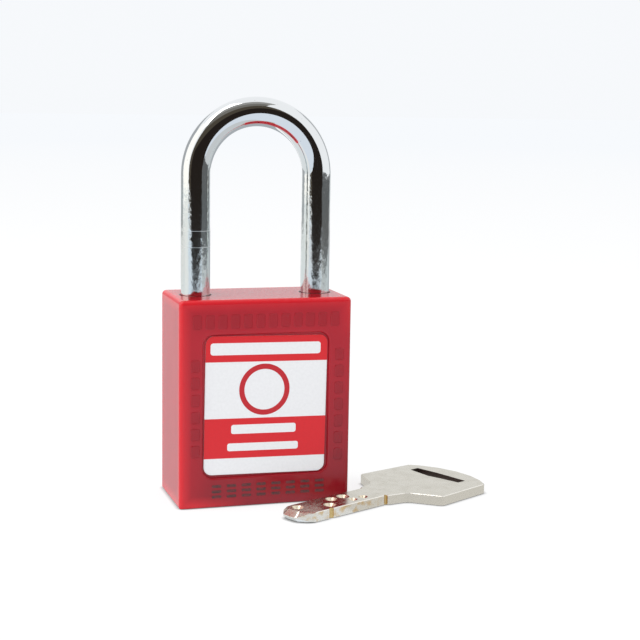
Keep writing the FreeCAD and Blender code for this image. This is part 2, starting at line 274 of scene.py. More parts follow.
def noise(made, grain_mm, detail=3.0, stretch=(1, 1, 1)):
    """A cloudy pattern whose spots are about grain_mm across."""
    node = made.node_tree.nodes.new("ShaderNodeTexNoise")
    node.inputs["Scale"].default_value = 1 / (grain_mm * MM)
    node.inputs["Detail"].default_value = detail
    made.node_tree.links.new(place_coordinates(made, stretch), node.inputs["Vector"])
    return node.outputs["Fac"]


def spread(made, source, low, high, out_low=0.0, out_high=1.0):
    node = made.node_tree.nodes.new("ShaderNodeMapRange")
    node.inputs["From Min"].default_value = low
    node.inputs["From Max"].default_value = high
    node.inputs["To Min"].default_value = out_low
    node.inputs["To Max"].default_value = out_high
    made.node_tree.links.new(source, node.inputs["Value"])
    return node.outputs["Result"]


def blend_colours(made, share, first, second):
    """Mixes two colours, or a colour over a colour socket, by share."""
    node = made.node_tree.nodes.new("ShaderNodeMix")
    node.data_type = "RGBA"
    made.node_tree.links.new(share, node.inputs["Factor"])
    for socket, value in ((node.inputs["A"], first), (node.inputs["B"], second)):
        if isinstance(value, tuple):
            socket.default_value = (*value, 1)
        else:
            made.node_tree.links.new(value, socket)
    return node.outputs["Result"]


def bump(made, shader, heights):
    """Chains (height socket, depth in mm) pairs into the shader's normal."""
    tree = made.node_tree
    normal = None
    for height, depth_mm in heights:
        node = tree.nodes.new("ShaderNodeBump")
        node.inputs["Strength"].default_value = 1.0
        node.inputs["Distance"].default_value = depth_mm * MM
        tree.links.new(height, node.inputs["Height"])
        if normal:
            tree.links.new(normal, node.inputs["Normal"])
        normal = node.outputs["Normal"]
    tree.links.new(normal, shader.inputs["Normal"])


def ink_or_card(name, colour, roughness=0.32):
    made, shader = new_material(name, colour, roughness)
    link = made.node_tree.links.new
    darker = tuple(c * 0.95 for c in colour)
    link(blend_colours(made, spread(made, noise(made, 0.6, 4), 0.3, 0.7), darker, colour),
         shader.inputs["Base Color"])
    bump(made, shader, [(noise(made, 5, 2), 0.02), (noise(made, 0.4, 3), 0.0015)])
    return made


def burnt_marks():
    """Brown, uneven marks burnt into the nylon."""
    made, shader = new_material("stamped_marks", (0.08, 0.03, 0.03), 0.6)
    link = made.node_tree.links.new
    patchy = spread(made, noise(made, 0.5, 3), 0.4, 0.65)
    link(blend_colours(made, patchy, (0.06, 0.028, 0.026), (0.20, 0.025, 0.03)),
         shader.inputs["Base Color"])
    bump(made, shader, [(noise(made, 0.4, 3), 0.02)])
    return made


def calculate(made, operation, first, second=0.0):
    """A Math node on two sockets or numbers."""
    node = made.node_tree.nodes.new("ShaderNodeMath")
    node.operation = operation
    for socket, value in zip(node.inputs, (first, second)):
        if isinstance(value, (int, float)):
            socket.default_value = value
        else:
            made.node_tree.links.new(value, socket)
    return node.outputs["Value"]


def position(made):
    """The X, Y and Z sockets of a point's place on its piece."""
    tree = made.node_tree
    coordinates = tree.nodes.new("ShaderNodeTexCoord")
    split = tree.nodes.new("ShaderNodeSeparateXYZ")
    tree.links.new(coordinates.outputs["Object"], split.inputs["Vector"])
    return [split.outputs[axis] for axis in "XYZ"]


# The plating turns from mirror to grained between these heights, and duller between the others.
GRAIN_FROM, GRAIN_FULL = 75 * MM, 67 * MM
DULL_FROM, DULL_FULL = 74 * MM, 48 * MM
# Two fine rings worn round the heel leg.
RING_MARKS = (55.5 * MM, 59.0 * MM)


def plated_steel():
    """Bright zinc plating, mirror smooth on the arch and grained down the legs."""
    plating = (0.87, 0.88, 0.88)
    made, shader = new_material("plated_steel", plating, 0.05, 1.0)
    link = made.node_tree.links.new
    x, _, z = position(made)
    grained = spread(made, z, GRAIN_FROM, GRAIN_FULL)
    grain = calculate(made, "MULTIPLY", noise(made, 0.6, 3, (1, 1, 0.35)), grained)
    roughness = spread(made, z, DULL_FROM, DULL_FULL, 0.035, 0.12)
    rings = 0.0
    for mark in RING_MARKS:
        away = calculate(made, "ABSOLUTE", calculate(made, "SUBTRACT", z, mark))
        ring = spread(made, away, 0.07 * MM, 0.04 * MM)
        rings = calculate(made, "MAXIMUM", ring, rings)
    on_heel_leg = spread(made, x, 0.1 * MM, 0.0)
    rings = calculate(made, "MULTIPLY", rings, on_heel_leg)
    link(calculate(made, "ADD", roughness, calculate(made, "MULTIPLY", rings, 0.3)),
         shader.inputs["Roughness"])
    tint = spread(made, noise(made, 7, 2, (1, 1, 0.4)), 0.35, 0.65)
    tinted = blend_colours(made, tint, (0.88, 0.87, 0.82), (0.82, 0.88, 0.88))
    zinc = blend_colours(made, grained, plating, tinted)
    pits = spread(made, noise(made, 0.6, 2), 0.72, 0.78)
    link(blend_colours(made, pits, zinc, (0.45, 0.45, 0.45)), shader.inputs["Base Color"])
    bump(made, shader, [(grain, 0.038), (noise(made, 1.2, 2, (1, 1, 0.3)), 0.003)])
    return made


EDGE_FULL = 0.6 * MM


def edge_nearness(made, reach_mm):
    """1 within EDGE_FULL of the case's outer edges, falling to 0 reach_mm inside a face."""
    x, y, z = position(made)
    in_x = calculate(made, "SUBTRACT", CASE_HIGH.x, calculate(made, "ABSOLUTE", x))
    in_y = calculate(made, "SUBTRACT", CASE_HIGH.y, calculate(made, "ABSOLUTE", y))
    in_z = calculate(made, "MINIMUM", z, calculate(made, "SUBTRACT", CASE_HIGH.z, z))
    lower = calculate(made, "MINIMUM", in_x, in_y)
    higher = calculate(made, "MAXIMUM", in_x, in_y)
    second = calculate(made, "MAXIMUM", lower, calculate(made, "MINIMUM", higher, in_z))
    return spread(made, second, reach_mm * MM, EDGE_FULL)


def red_nylon(name="red_nylon", shade=1.0):
    """Moulded nylon with a painted highlight along its left and top edges, and painted shade
    towards the foot.
    """
    made, shader = new_material(name, (0.45, 0.007, 0.018), 0.22)
    link = made.node_tree.links.new
    x, _, z = position(made)
    cloud = spread(made, noise(made, 9, 2), 0.3, 0.7)
    flat = blend_colours(made, cloud, (0.40 * shade, 0.004 * shade, 0.014 * shade),
                         (0.44 * shade, 0.005 * shade, 0.016 * shade))
    # Painted shade: the colour turns darker towards the foot, except on the left face.
    darker_tone = (0.27 * shade, 0.004 * shade, 0.011 * shade)
    low_down = spread(made, z, 34 * MM, 2 * MM)
    off_the_left = spread(made, x, -18.5 * MM, -12 * MM)
    body = blend_colours(made, calculate(made, "MULTIPLY", low_down, off_the_left), flat, darker_tone)
    # Painted highlight: a brighter red near the outer edges on the left and the top.
    lit_left = spread(made, x, -4 * MM, -16 * MM)
    lit_top = spread(made, z, 36 * MM, 46 * MM)
    lit = calculate(made, "MAXIMUM", lit_left, lit_top)
    edge_highlight = calculate(made, "MULTIPLY", edge_nearness(made, 2.6), lit)
    link(blend_colours(made, edge_highlight, body, (0.62, 0.012, 0.020)), shader.inputs["Base Color"])
    streaks = noise(made, 0.5, 3, (1, 1, 0.04))
    link(spread(made, streaks, 0.3, 0.7, 0.17, 0.25), shader.inputs["Roughness"])
    shader.inputs["Subsurface Weight"].default_value = 0.12
    shader.inputs["Subsurface Radius"].default_value = (1.0, 0.12, 0.1)
    shader.inputs["Subsurface Scale"].default_value = 1.2 * MM
    bump(made, shader, [(noise(made, 6, 2), 0.016), (streaks, 0.0005)])
    return made


def key_nickel():
    """Thin nickel over brass, worn through in places on the blade's narrow sides.

    The bevels that slope towards the camera's side carry a painted highlight, and the sides are
    yellower.
    """
    made, shader = new_material("key_nickel", (0.66, 0.64, 0.59), 0.28, 1.0)
    tree = made.node_tree
    link = tree.links.new
    worn = spread(made, noise(made, 3, 5), 0.45, 0.65)
    nickel = blend_colours(made, worn, (0.66, 0.62, 0.53), (0.60, 0.56, 0.47))
    facing = tree.nodes.new("ShaderNodeSeparateXYZ")
    link(tree.nodes.new("ShaderNodeNewGeometry").outputs["Normal"], facing.inputs["Vector"])
    side_on = spread(made, calculate(made, "ABSOLUTE", facing.outputs["Z"]), 0.8, 0.3)
    x, _, _ = position(made)
    blade = spread(made, x, 25 * MM, 21 * MM)
    rubbed = spread(made, noise(made, 1.3, 4), 0.48, 0.68)
    brass_share = calculate(made, "MULTIPLY", calculate(made, "MULTIPLY", side_on, blade), rubbed)
    # Painted highlight: pale colour on the bevels that slope towards the camera's side.
    sloping = spread(made, facing.outputs["Z"], 0.97, 0.86)
    near_side = spread(made, facing.outputs["Y"], -0.36, -0.5)
    near_bevels = calculate(made, "MULTIPLY", sloping, near_side)
    bevel_highlight = blend_colours(made, near_bevels, nickel, (0.97, 0.93, 0.86))
    yellowed = blend_colours(made, side_on, bevel_highlight, (0.92, 0.84, 0.72))
    link(blend_colours(made, brass_share, yellowed, (0.80, 0.56, 0.30)),
         shader.inputs["Base Color"])
    link(spread(made, noise(made, 0.9, 5), 0.3, 0.7, 0.2, 0.34), shader.inputs["Roughness"])
    bump(made, shader, [(noise(made, 2.6, 2), 0.0028), (noise(made, 0.6, 2), 0.0004)])
    return made


def cut_brass(name="cut_brass", colour=(0.97, 0.84, 0.64)):
    made, shader = new_material(name, colour, 0.2, 1.0)
    link = made.node_tree.links.new
    darker_tone = tuple(c * 0.8 for c in colour)
    link(blend_colours(made, noise(made, 1.5, 4), darker_tone, colour), shader.inputs["Base Color"])
    link(spread(made, noise(made, 0.7, 4), 0.3, 0.7, 0.14, 0.34), shader.inputs["Roughness"])
    bump(made, shader, [(noise(made, 0.3, 2, (1, 1, 4)), 0.003)])
    return made


def machined_steel(name, colour, roughness):
    made, shader = new_material(name, colour, roughness, 1.0)
    link = made.node_tree.links.new
    link(spread(made, noise(made, 0.6, 4), 0.3, 0.7, roughness * 0.75, roughness * 1.3),
         shader.inputs["Roughness"])
    bump(made, shader, [(noise(made, 0.3, 2, (1, 1, 5)), 0.003)])
    return made


def dark_nylon():
    made, shader = new_material("dark_nylon", (0.022, 0.022, 0.024), 0.5)
    link = made.node_tree.links.new
    link(spread(made, noise(made, 0.8, 4), 0.3, 0.7, 0.42, 0.6), shader.inputs["Roughness"])
    bump(made, shader, [(noise(made, 0.25, 3), 0.01)])
    return made


RED = red_nylon()
# Painted shade: a darker copy of the case's nylon for the raised pads.
SHADED_PAD_RED = red_nylon("red_nylon_raised_shaded", 0.84)
# Painted shade: a much darker copy of the nylon for the leg holes' walls.
HOLE_SHADE_RED = red_nylon("red_nylon_hole_shade", 0.3)
STAMPED = burnt_marks()
CARD = ink_or_card("label_white", (0.84, 0.84, 0.85))
INK = ink_or_card("label_red", (0.70, 0.005, 0.012))
RING_INK = ink_or_card("label_deep_red", (0.54, 0.005, 0.014))
STEEL = plated_steel()
NICKEL = key_nickel()
CUT_BRASS = cut_brass()
NOTCH_BRASS = cut_brass("notch_brass", (0.86, 0.60, 0.25))
# Painted shade: dark walls for the bow's slot, whose far side lies in shadow.
SLOT_WALL_SHADE = machined_steel("key_slot_shade", (0.14, 0.105, 0.09), 0.5)


# ---- case -------------------------------------------------------------

def case_half_loops(side):
    """Loops from the middle of one label recess out to the case's middle. side is -1 in front."""
    half_w = CASE_HIGH.x
    face = CASE_HIGH.y
    floor_w = (LABEL_HIGH.x - LABEL_LOW.x) / 2 + RECESS_MARGIN
    floor_low = LABEL_LOW.z - RECESS_MARGIN
    floor_high = LABEL_HIGH.z + RECESS_MARGIN
    corner = LABEL_CORNER + RECESS_MARGIN
    loops = []

    def recess(grow, depth):
        loops.append(rounded_loop(floor_w + grow, floor_low - grow, floor_high + grow,
                                  corner + grow, side * (face - depth)))

    for step in range(FILLET_STEPS + 1):
        turn = step / FILLET_STEPS * math.pi / 2
        recess(-RECESS_FILLET * (1 - math.sin(turn)),
               RECESS_DEPTH - RECESS_FILLET * (1 - math.cos(turn)))
    for step in range(EDGE_STEPS + 1):
        turn = step / EDGE_STEPS * math.pi / 2
        recess(RECESS_RIM * (1 - math.cos(turn)), RECESS_RIM * (1 - math.sin(turn)))
    for step in range(EDGE_STEPS + 1):
        turn = step / EDGE_STEPS * math.pi / 2
        out = max(math.sin(turn), LEAST_OUT)
        back = 1 - math.cos(turn)
        loops.append(rounded_loop(
            half_w - CASE_EDGE * (1 - out),
            CASE_LOW.z + FOOT_EDGE * (1 - out), CASE_HIGH.z - CASE_EDGE * (1 - out),
            CASE_EDGE * out, side * (face - CASE_EDGE * back),
            foot_corner=FOOT_EDGE * out, foot_y=side * (face - FOOT_EDGE * back)))
    return loops


def leg_hole_cutter(x):
    top = CASE_HIGH.z
    bm = bmesh.new()
    profile = [(0, -WALL_TOP - MM), (LEG_HOLE_R, -WALL_TOP - MM)]
    for step in range(LIP_STEPS + 1):
        turn = step / LIP_STEPS * math.pi / 2
        profile.append((LEG_HOLE_R + LEG_HOLE_LIP * (1 - math.cos(turn)),
                        -LEG_HOLE_LIP * (1 - math.sin(turn))))
    profile += [(LEG_HOLE_R + LEG_HOLE_LIP, MM), (0, MM)]
    lathe(bm, profile, Vector((x, 0, top)))
    return from_bmesh("leg_hole", bm)


def make_case():
    bm = bmesh.new()
    stitch(bm, case_half_loops(-1) + list(reversed(case_half_loops(1))))
    case = from_bmesh("case", bm)
    inside_low = Vector((CASE_LOW.x + WALL_X, CASE_LOW.y + WALL_Y, -MM))
    inside_high = Vector((CASE_HIGH.x - WALL_X, CASE_HIGH.y - WALL_Y, CASE_HIGH.z - WALL_TOP))
    carve(case, box_piece("inside", inside_low, inside_high))
    case.data.materials.append(RED)
    for x in (-LEG_X, LEG_X):
        hole = leg_hole_cutter(x)
        hole.data.materials.append(HOLE_SHADE_RED)
        carve(case, hole)
    soften(case)
    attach(case, "case")
    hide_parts("body_shell")


def pad(bm, x, z, width, height, back_y, front_y, corner, chamfer):
    """A thin raised block on a face that looks along -Y."""
    stitch(bm, [
        rounded_loop(width / 2, z - height / 2, z + height / 2, corner, back_y, x),
        rounded_loop(width / 2, z - height / 2, z + height / 2, corner, front_y + chamfer, x),
        rounded_loop(width / 2 - chamfer, z - height / 2 + chamfer, z + height / 2 - chamfer,
                     corner - chamfer / 2, front_y, x),
    ])


def make_raised_pads():
    """Plain blocks of the case's nylon, painted a little darker as shade, in place of raised
    lettering.
    """
    bm = bmesh.new()
    face = CASE_LOW.y
    for (x, z), (step_x, step_z), count, (width, height) in PAD_ROWS:
        for i in range(count):
            pad(bm, (x + step_x * i) * MM, (z + step_z * i) * MM, width * MM, height * MM,
                face + ROOT, face - PAD_PROUD, PAD_CORNER, PAD_CHAMFER)
    pads = from_bmesh("case_raised_pads", bm)
    pads.data.materials.append(SHADED_PAD_RED)
    soften(pads)
    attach(pads, "case")


def make_stamped_row():
    """A row of plain dark dashes in threes, in place of stamped characters."""
    bm = bmesh.new()
    face = CASE_LOW.y
    (x, z), (step_x, step_z), (width, height) = DASH_START, DASH_STEP, DASH_SIZE
    for i in range(DASH_COLUMNS):
        for level in range(DASH_LEVELS):
            pad(bm, (x + step_x * i) * MM, (z + step_z * level) * MM, width * MM, height * MM,
                face + ROOT, face - DASH_PROUD, DASH_CORNER, DASH_CHAMFER)
    row = from_bmesh("case_stamped_row", bm)
    row.data.materials.append(STAMPED)
    soften(row)
    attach(row, "case")


# ---- labels -----------------------------------------------------------

def card_band(bm, low, high, back_y, front_y, round_top=0.0):
    """A full-width band of ink, rounded where it meets the card's own corners."""
    half = (LABEL_HIGH.x - LABEL_LOW.x) / 2
    loops = [rounded_loop(half, low, high, max(round_top, LEAST_BAND_CORNER), y,
                          foot_corner=LEAST_BAND_CORNER) for y in (back_y, front_y)]
    stitch(bm, loops, INK_SLOT)


def make_front_label():
    bm = bmesh.new()
    low, high = LABEL_LOW.z, LABEL_HIGH.z
    back, face = LABEL_HIGH.y, LABEL_LOW.y + CARD_DROP
    half = (LABEL_HIGH.x - LABEL_LOW.x) / 2
    edge = CARD_EDGE
    stitch(bm, [
        rounded_loop(half, low, high, LABEL_CORNER, back),
        rounded_loop(half, low, high, LABEL_CORNER, face + edge),
        rounded_loop(half - edge, low + edge, high - edge, LABEL_CORNER - edge, face),
    ])
    ink = face - INK_PROUD
    card_band(bm, TITLE_BAND_FOOT, high, face + ROOT, ink, round_top=LABEL_CORNER)
    card_band(bm, *LOWER_BAND, face + ROOT, ink)
    inner_r = RING_R - RING_WIDTH
    profile = [(RING_R, ROOT), (RING_R, -INK_PROUD), (inner_r, -INK_PROUD), (inner_r, ROOT)]
    lathe(bm, profile, Vector((RING_X, face, RING_Z)), "Y", RING_SIDES, RING_SLOT)
    for x, z, width, height, corner in LABEL_BARS:
        pad(bm, x * MM, z * MM, width * MM, height * MM, ink + LABEL_BAR_ROOT,
            ink - INK_PROUD, corner * MM, LABEL_BAR_CHAMFER)
    middle = Vector((0, 0, (low + high) / 2))
    askew = Matrix.Rotation(LABEL_TILT, 4, "Y")
    bmesh.ops.rotate(bm, cent=middle, matrix=askew, verts=bm.verts)
    label = from_bmesh("front_label_card", bm)
    label.data.materials.append(CARD)
    label.data.materials.append(INK)
    label.data.materials.append(RING_INK)
    soften(label)
    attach(label, "case")
    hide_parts("front_label")


# ---- shackle ----------------------------------------------------------

def bar_stations():
    """(point, direction along the bar, radius) from the heel's end round to the toe's tip."""
    up, down = Vector((0, 0, 1)), Vector((0, 0, -1))
    full = BAR_R
    stations = []

    def leg(x, way, z, radius):
        stations.append((Vector((x, 0, z)), way, radius))

    for z, radius in ((HEEL_END, full - HEEL_CHAMFER), (HEEL_END + HEEL_CHAMFER, full),
                      (HEEL_FLANGE_TOP, full), (HEEL_FLANGE_TOP, HEEL_NECK_R),
                      (HEEL_NECK_TOP, HEEL_NECK_R), (HEEL_NECK_TOP, full)):
        leg(-LEG_X, up, z, radius)
    z = HEEL_NECK_TOP + MM
    while z < ARCH_Z - MM:
        leg(-LEG_X, up, z, full)
        z += LEG_STEP
    for i in range(ARCH_STEPS + 1):
        angle = math.pi * (1 - i / ARCH_STEPS)
        c, s = math.cos(angle), math.sin(angle)
        stations.append((Vector((LEG_X * c, 0, ARCH_Z + LEG_X * s)), Vector((s, 0, -c)), full))
    z = ARCH_Z - LEG_STEP
    while z > TOE_TIP + 2 * MM:
        leg(LEG_X, down, z, full)
        z -= LEG_STEP
    leg(LEG_X, down, TOE_TIP + TOE_CHAMFER, full)
    leg(LEG_X, down, TOE_TIP, full - TOE_CHAMFER)
    return stations


def dome(radius, base=0.0):
    """The (radius, height) points of a quarter circle, from its foot at base up to its top."""
    turns = [step / 8 * math.pi / 2 for step in range(9)]
    return [(radius * math.cos(turn), base + radius * math.sin(turn)) for turn in turns]


def ball_seat_cutter(side, out):
    """The round-ended seat that a ball enters from the lock's middle."""
    bm = bmesh.new()
    lathe(bm, [(0, -3 * MM), (BALL_SEAT_R, -3 * MM)] + dome(BALL_SEAT_R), Vector((0, 0, 0)))
    turn_out = Matrix.Rotation(side * math.pi / 2, 4, "Y")
    place = Matrix.Translation((side * out, 0, BALL_Z))
    bmesh.ops.transform(bm, matrix=place @ turn_out, verts=bm.verts)
    return from_bmesh("ball_seat", bm)


def heel_groove_cutter(ball_x):
    """The groove that the heel's ball runs in while the shackle lifts."""
    bm = bmesh.new()
    foot = [(0, HEEL_FLANGE_TOP), (BALL_SEAT_R, HEEL_FLANGE_TOP)]
    lathe(bm, foot + dome(BALL_SEAT_R, BALL_Z), Vector((-ball_x, 0, 0)))
    return from_bmesh("heel_groove", bm)


def make_shackle():
    bm = bmesh.new()
    loops = []
    for point, way, radius in bar_stations():
        side = Vector((0, 1, 0))
        across = way.cross(side)
        loops.append([point + radius * (math.cos(a) * across + math.sin(a) * side)
                      for a in (2 * math.pi * i / BAR_SIDES for i in range(BAR_SIDES))])
    stitch(bm, loops)
    shackle = from_bmesh("shackle_bar", bm)
    ball_out = LEG_X - BAR_R + BALL_SEAT_DEPTH - BALL_R
    for side in (-1, 1):
        carve(shackle, ball_seat_cutter(side, ball_out))
    carve(shackle, heel_groove_cutter(ball_out - GROOVE_RISE))
    shackle.data.materials.clear()
    shackle.data.materials.append(STEEL)
    smooth(shackle.data, BAR_SHARP_DEG)
    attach(shackle, "shackle_body")
    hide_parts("shackle")


# ---- key --------------------------------------------------------------

# In the key's own frame u runs from its tip along the blade and v across it; v < 0 faces the
# camera. The table's plane is z = 0.

KEY_T = 2.2 * MM
KEY_BLADE_HALF = 3.8 * MM
KEY_BLADE_L = 24.6 * MM
KEY_NECK_L = 5.0 * MM
KEY_TURN = math.radians(26.5)
KEY_TIP = Vector((1.6, -24.35, 0)) * MM
KEY_EDGE = 0.15 * MM

# Both sides of the tip: (u, half width) of its three corners, in mm.
TIP_NEAR = [(0.0, 1.3), (1.9, 3.25), (3.2, KEY_BLADE_HALF / MM)]
TIP_FAR = [(0.0, 2.3), (0.9, 3.2), (2.4, KEY_BLADE_HALF / MM)]
# How far each face's rim is drawn in along the tip's first three sides, and how deep the
# bevels there may go.
TOP_NEAR_REACH = (1.3 * MM, 1.2 * MM, 0.5 * MM)
TOP_FAR_REACH = (1.3 * MM, 1.15 * MM, 0.6 * MM)
FOOT_REACH = (1.1 * MM, 1.0 * MM, 0.5 * MM)
TOP_BEVEL = 1.05 * MM
FOOT_BEVEL = 0.9 * MM
# A bevel's drop for each bit of its width, how rounded it is, and where its rings lie.
BEVEL_SLOPE = 0.9
BEVEL_CURVE = 1.2
BEVEL_SHARES = (0, 0.3, 1)

# The bow's slot: its middle's u, and its corners round that, in mm.
SLOT_U = KEY_BLADE_L + 21.3 * MM
SLOT_CORNERS = [(1.3, -7.0), (1.85, 2.0), (1.7, 8.0), (-0.75, 8.0), (-1.85, 1.4),
                (-1.4, -2.0), (-1.1, -7.0)]

# Dimples: (u, row, radius) in mm. On the top face row 1 lies away from the camera and row -1
# towards it. The foot face has them the other way round, so that the key fits either way up.
DIMPLES = [(3.3, 1, 1.42), (13.2, 1, 1.42), (16.7, 1, 1.42),
           (9.9, -1, 1.42), (16.7, -1, 1.08), (19.9, -1, 1.08)]
DIMPLE_ROW_V = 1.5 * MM
DIMPLE_STEEPNESS = 0.72
DIMPLE_FLAT = 0.15 * MM
# A dimple's cutter goes on past the face, so that the cut is clean: by this much outward, in mm,
# and by this share of it in height.
DIMPLE_OUT, DIMPLE_OUT_RISE = 0.3, 0.8

# Notches in the edge that faces the camera: (u, radius) in mm.
EDGE_NOTCHES = [(8.2, 0.65), (24.5, 0.38)]


def rounded_corner(before, at, after, radius, steps=6):
    """Points that round the corner at, between its neighbours."""
    a = (before - at).normalized()
    b = (after - at).normalized()
    half = a.angle(b) / 2
    reach = min(radius / math.tan(half), 0.49 * (before - at).length, 0.49 * (after - at).length)
    start, end = at + a * reach, at + b * reach
    made = []
    for i in range(steps + 1):
        t = i / steps
        made.append(start * (1 - t) ** 2 + at * 2 * t * (1 - t) + end * t ** 2)
    return made


def key_corners(tip):
    """Half of the key's outline, from the tip to the bow's end, as (corner, rounding)."""
    blade = KEY_BLADE_HALF
    shoulder = KEY_BLADE_L + 0.2 * MM
    neck_end = KEY_BLADE_L + KEY_NECK_L
    return [
        (Vector((0, 0)), 0),
        (Vector(tip[0]) * MM, 0.9 * MM),
        (Vector(tip[1]) * MM, 1.2 * MM),
        (Vector(tip[2]) * MM, 2.0 * MM),
        (Vector((shoulder, blade)), 0.15 * MM),
        (Vector((shoulder, blade + 0.5 * MM)), 0.2 * MM),
        (Vector((neck_end, blade + 1.7 * MM)), 3.5 * MM),
        (Vector((neck_end + 3.7 * MM, 12.7 * MM)), 0.9 * MM),
        (Vector((neck_end + 18.9 * MM, 11.7 * MM)), 1.2 * MM),
        (Vector((neck_end + 20.65 * MM, 8.9 * MM)), 5.0 * MM),
        (Vector((neck_end + 22.1 * MM, 4.9 * MM)), 8.0 * MM),
        (Vector((neck_end + 22.65 * MM, 0)), 0),
    ]


def pulled_in(corners, depths):
    """The same corners once each side between two of them has moved in by its own depth."""
    lines = []
    for (a, _), (b, _), depth in zip(corners, corners[1:], depths):
        way = (b - a).normalized()
        lines.append((a + Vector((way.y, -way.x)) * depth, way))
    made = [(Vector((lines[0][0].x, 0)), 0)]
    for (start, way), (other, onward), (_, radius) in zip(lines, lines[1:], corners[1:]):
        gap = other - start
        along = (gap.x * onward.y - gap.y * onward.x) / (way.x * onward.y - way.y * onward.x)
        made.append((start + way * along, radius))
    return made + [(Vector((corners[-1][0].x - depths[-1], 0)), 0)]


def key_outline(near_depths=None, far_depths=None):
    """The key's whole outline, or the same drawn in by these depths at each side of the tip."""
    halves = []
    for tip, depths in ((TIP_NEAR, near_depths), (TIP_FAR, far_depths)):
        corners = key_corners(tip)
        if depths:
            plain = [KEY_EDGE] * (len(corners) - 1 - len(depths))
            corners = pulled_in(corners, list(depths) + plain)
        half = []
        for before, (at, radius), after in zip(corners, corners[1:], corners[2:]):
            half += rounded_corner(before[0], at, after[0], radius)
        halves.append(half)
    near, far = halves
    # The two points on the key's middle line are the far half's.
    lower = [Vector((p.x, -p.y)) for p in near]
    return [corners[0][0]] + lower + [corners[-1][0]] + list(reversed(far))


def distance_to(at, outline):
    """How far a point lies from the nearest side of a closed outline."""
    gaps = []
    for a, b in zip(outline, outline[1:] + outline[:1]):
        side = b - a
        share = max(0.0, min(1.0, (at - a).dot(side) / side.length_squared))
        gaps.append((at - a - side * share).length)
    return min(gaps)


def slot_cutter():
    bm = bmesh.new()
    corners = [(SLOT_U + u * MM, v * MM) for u, v in SLOT_CORNERS]
    stitch(bm, [[Vector((u, v, z)) for u, v in corners] for z in (-MM, KEY_T + MM)])
    return from_bmesh("bow_slot", bm)


def dimple_cutter(u, row, radius, face_z, way):
    """A cone with a small flat end. way is 1 up into the foot face and -1 down into the top."""
    depth = DIMPLE_STEEPNESS * radius
    rise = -DIMPLE_OUT * DIMPLE_OUT_RISE * MM
    profile = [(0.0, depth * MM), (DIMPLE_FLAT, depth * MM), (radius * MM, 0),
               ((radius + DIMPLE_OUT) * MM, rise), (0, rise)]
    bm = bmesh.new()
    centre = Vector((u * MM, row * -way * DIMPLE_ROW_V, face_z))
    lathe(bm, [(r, h * way) for r, h in profile], centre, sides=40)
    return from_bmesh("dimple", bm)


def edge_notch_cutter(u, radius):
    bm = bmesh.new()
    centre = Vector((u * MM, -KEY_BLADE_HALF - 0.1 * MM, 0))
    profile = [(0, -MM), (radius * MM, -MM), (radius * MM, 4 * MM), (0, 4 * MM)]
    lathe(bm, profile, centre, sides=32)
    return from_bmesh("edge_notch", bm)


def key_cutters():
    """(cutter, material of its cut) of the bow's slot, the dimples and the edge notches."""
    cutters = [(slot_cutter(), SLOT_WALL_SHADE)]
    for dimple in DIMPLES:
        for face_z, way in ((KEY_T, -1), (0.0, 1)):
            cutters.append((dimple_cutter(*dimple, face_z, way), CUT_BRASS))
    for notch in EDGE_NOTCHES:
        cutters.append((edge_notch_cutter(*notch), NOTCH_BRASS))
    return cutters


def bevel_ring(inner, outline, z, way, most, share):
    """The ring this share of the way from a face's rim, at height z, out to the key's side."""
    ring = []
    for at, out in zip(inner, outline):
        drop = min(BEVEL_SLOPE * distance_to(at, outline), most)
        spot = at.lerp(out, share)
        ring.append(Vector((spot.x, spot.y, z + way * drop * share ** BEVEL_CURVE)))
    return ring


def make_key():
    outline = key_outline()
    top = key_outline(TOP_NEAR_REACH, TOP_FAR_REACH)
    foot = key_outline(FOOT_REACH, FOOT_REACH)
    foot_rings = [bevel_ring(foot, outline, 0, 1, FOOT_BEVEL, share) for share in BEVEL_SHARES]
    top_rings = [bevel_ring(top, outline, KEY_T, -1, TOP_BEVEL, share) for share in BEVEL_SHARES]
    bm = bmesh.new()
    stitch(bm, foot_rings + list(reversed(top_rings)))
    key = from_bmesh("key_body", bm)
    key.data.materials.append(NICKEL)
    for cutter, cut_material in key_cutters():
        cutter.data.materials.append(cut_material)
        carve(key, cutter)
    place = Matrix.Translation(KEY_TIP) @ Matrix.Rotation(KEY_TURN, 4, "Z")
    key.data.transform(place)
    soften(key, KEY_SHARP_DEG)
    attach(key, "loose_key")
    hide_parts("key")


# ---- materials of the CAD's own nodes ---------------------------------

def dress_cad_nodes():
    brass = cut_brass("machined_brass", (0.80, 0.60, 0.30))
    plug_brass = cut_brass("plug_brass", (0.74, 0.60, 0.36))
    wire = machined_steel("spring_wire", (0.55, 0.56, 0.58), 0.25)
    bright = machined_steel("bright_steel", (0.70, 0.71, 0.73), 0.12)
    grey = machined_steel("sintered_steel", (0.42, 0.42, 0.43), 0.4)
    chassis = dark_nylon()
    card = ink_or_card("rear_card", (0.80, 0.80, 0.80), 0.5)
    by_slot = {
        "case_nylon": RED, "chassis_nylon": chassis, "label_print": CARD, "blank_label": card,
        "shackle_steel": STEEL, "spring_steel": wire, "ball_steel": bright, "pin_steel": bright,
        "cam_steel": grey, "cylinder_brass": brass, "plug_brass": plug_brass, "pin_brass": brass,
        "screw_steel": grey, "key_nickel": NICKEL,
    }
    for row in frame["record"]["subparts"]:
        node = nodes[row["node"]]
        node.data.materials.clear()
        node.data.materials.append(by_slot[row["material_slot"]])


def make_pin_springs():
    """Copies of the pin springs, fixed to the case at their rest shape."""
    for joint in frame["record"]["behaviour"]["joints"]:
        for row in joint.get("deforming_nodes", []):
            if not row["node"].startswith("pin_spring"):
                continue
            spring = new_object("coil_" + row["node"][-1], nodes[row["node"]].data.copy())
            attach(spring, "case")
            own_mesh(spring)
            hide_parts(row["node"])


# ---- studio -----------------------------------------------------------

AZIMUTH = math.radians(-17.216)
ELEVATION = math.radians(8.544)
ROLL = math.radians(0.906)
DISTANCE = 327.098 * MM
AIM = Vector((13.551, -4.252, 39.265)) * MM
LENS = 83.69
CLIP_START = 0.01

